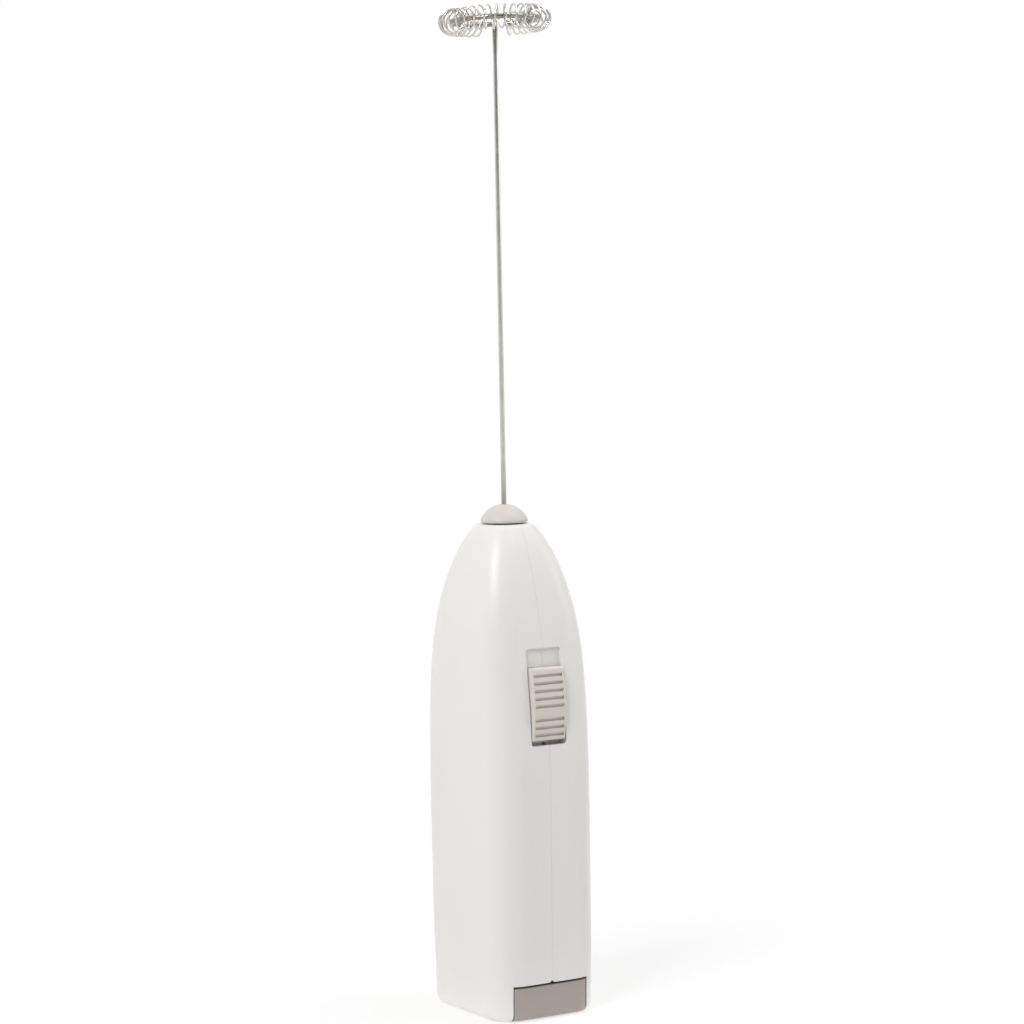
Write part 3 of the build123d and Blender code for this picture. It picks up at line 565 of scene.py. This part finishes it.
def floor_material():
    """A pale matt floor that fades to the white background.

    To the camera it glows, so that it is white where it is lit and the shadow on it is faint. To other light
    it glows only a little, round the base. Further out it is white to the camera, reflections and glass.
    """
    material, tree, shader = new_material("floor_look")
    shader.inputs["Roughness"].default_value = FLOOR_ROUGH
    shader.inputs["Specular IOR Level"].default_value = 0.0
    shader.inputs["Emission Color"].default_value = PURE_WHITE
    rays = tree.nodes.new("ShaderNodeLightPath").outputs
    length = tree.nodes.new("ShaderNodeVectorMath")
    length.operation = "LENGTH"
    tree.links.new(place(tree), length.inputs[0])
    distance = length.outputs["Value"]
    tone = blend(tree, rays["Is Camera Ray"], FLOOR_COLOUR, FLOOR_SEEN_COLOUR)
    tree.links.new(tone, shader.inputs["Base Color"])
    glow = span(tree, distance, BASE_GLOW, 0.0, start=BASE_GLOW_START, end=BASE_GLOW_END)
    glow = choose(tree, rays["Is Camera Ray"], FLOOR_SEEN_GLOW, glow)
    tree.links.new(glow, shader.inputs["Emission Strength"])
    seen = rays["Is Camera Ray"]
    for flag in ("Is Glossy Ray", "Is Transmission Ray"):
        seen = combine(tree, "MAXIMUM", seen, rays[flag])
    fade = span(tree, distance, 0.0, 1.0, start=FADE_START, end=FADE_END)
    white = tree.nodes.new("ShaderNodeEmission")
    mix = tree.nodes.new("ShaderNodeMixShader")
    tree.links.new(combine(tree, "MULTIPLY", fade, seen), mix.inputs[0])
    tree.links.new(shader.outputs["BSDF"], mix.inputs[1])
    tree.links.new(white.outputs["Emission"], mix.inputs[2])
    tree.links.new(mix.outputs["Shader"], tree.nodes["Material Output"].inputs["Surface"])
    return material


half = FLOOR_SIZE / 2
floor_corners = [(-half, -half, 0), (half, -half, 0), (half, half, 0), (-half, half, 0)]
floor_mesh = bpy.data.meshes.new("floor")
floor_mesh.from_pydata(floor_corners, [], [(0, 1, 2, 3)])
floor_mesh.materials.append(floor_material())
floor = add_object("floor", floor_mesh)

# World: the horizon in sines of a height, other starts and ends in cosines from the photograph's side
MIRROR_DARK = 0.18
MIRROR_START = 0.25
MIRROR_END = 0.85
FILL = 0.64
FILL_FRONT = 0.05
FILL_START = 0.0
FILL_END = 0.8
HORIZON_START = -0.03
HORIZON_END = 0.05


def studio_world():
    """Light from all round, by the kind of ray and its direction.

    To the camera and to glass it is white. In reflections it is white below the horizon, and above it darker
    on the side that the photograph was taken from. Its other light is a soft fill, weaker from that side.
    """
    world = bpy.data.worlds.new("studio")
    world.use_nodes = True
    tree = world.node_tree
    tree.nodes.clear()
    output = tree.nodes.new("ShaderNodeOutputWorld")
    background = tree.nodes.new("ShaderNodeBackground")
    background.inputs["Color"].default_value = PURE_WHITE
    tree.links.new(background.outputs["Background"], output.inputs["Surface"])
    rays = tree.nodes.new("ShaderNodeLightPath").outputs
    direction = tree.nodes.new("ShaderNodeTexCoord").outputs["Generated"]
    front = tree.nodes.new("ShaderNodeVectorMath")
    front.operation = "DOT_PRODUCT"
    front.inputs[1].default_value = back
    tree.links.new(direction, front.inputs[0])
    toward = front.outputs["Value"]
    parts = tree.nodes.new("ShaderNodeSeparateXYZ")
    tree.links.new(direction, parts.inputs["Vector"])
    below = span(tree, parts.outputs["Z"], 1.0, 0.0, start=HORIZON_START, end=HORIZON_END)
    mirrored = span(tree, toward, 1.0, MIRROR_DARK, start=MIRROR_START, end=MIRROR_END)
    mirrored = choose(tree, below, 1.0, mirrored)
    filled = span(tree, toward, FILL, FILL_FRONT, start=FILL_START, end=FILL_END)
    level = choose(tree, rays["Is Glossy Ray"], mirrored, filled)
    level = choose(tree, rays["Is Transmission Ray"], 1.0, level)
    level = choose(tree, rays["Is Camera Ray"], 1.0, level)
    tree.links.new(level, background.inputs["Strength"])
    return world


bpy.context.scene.world = studio_world()

# Soft lights, all turned to the upper part of the handle, in metres and watts
LIGHT_AIM = Vector((0.0, 0.0, 0.09))


def softbox(name, spot, size, power):
    """A square soft light at a spot."""
    light = bpy.data.lights.new(name, "AREA")
    light.shape = "SQUARE"
    light.size = size
    light.energy = power
    item = add_object(name, light)
    item.location = spot
    item.rotation_euler = (LIGHT_AIM - Vector(spot)).to_track_quat("-Z", "Y").to_euler()


softbox("key", spot=(-0.98, -0.44, 1.10), size=0.6, power=13.0)
softbox("side", spot=(1.2, -0.45, 0.5), size=0.6, power=1.9)
softbox("top", spot=(0.5, -0.3, 1.3), size=0.9, power=6.2)

# Camera, which sees nothing nearer than its clip distance, in millimetres
CAMERA_CLIP = 10.0
lens = bpy.data.cameras.new("camera")
lens.sensor_fit = "HORIZONTAL"
lens.sensor_width = SENSOR_WIDTH
lens.lens = CAMERA_FOCUS / PICTURE_WIDTH * SENSOR_WIDTH
lens.clip_start = CAMERA_CLIP * MM
camera = add_object("camera", lens)
camera_spot = (up * CAMERA_AIM + right * CAMERA_ASIDE + back * CAMERA_DISTANCE) * MM
camera_turn = Matrix((rolled_right, rolled_over, back)).transposed().to_4x4()
camera.matrix_world = Matrix.Translation(camera_spot) @ camera_turn
bpy.context.scene.camera = camera
bpy.context.scene.view_settings.view_transform = "Standard"
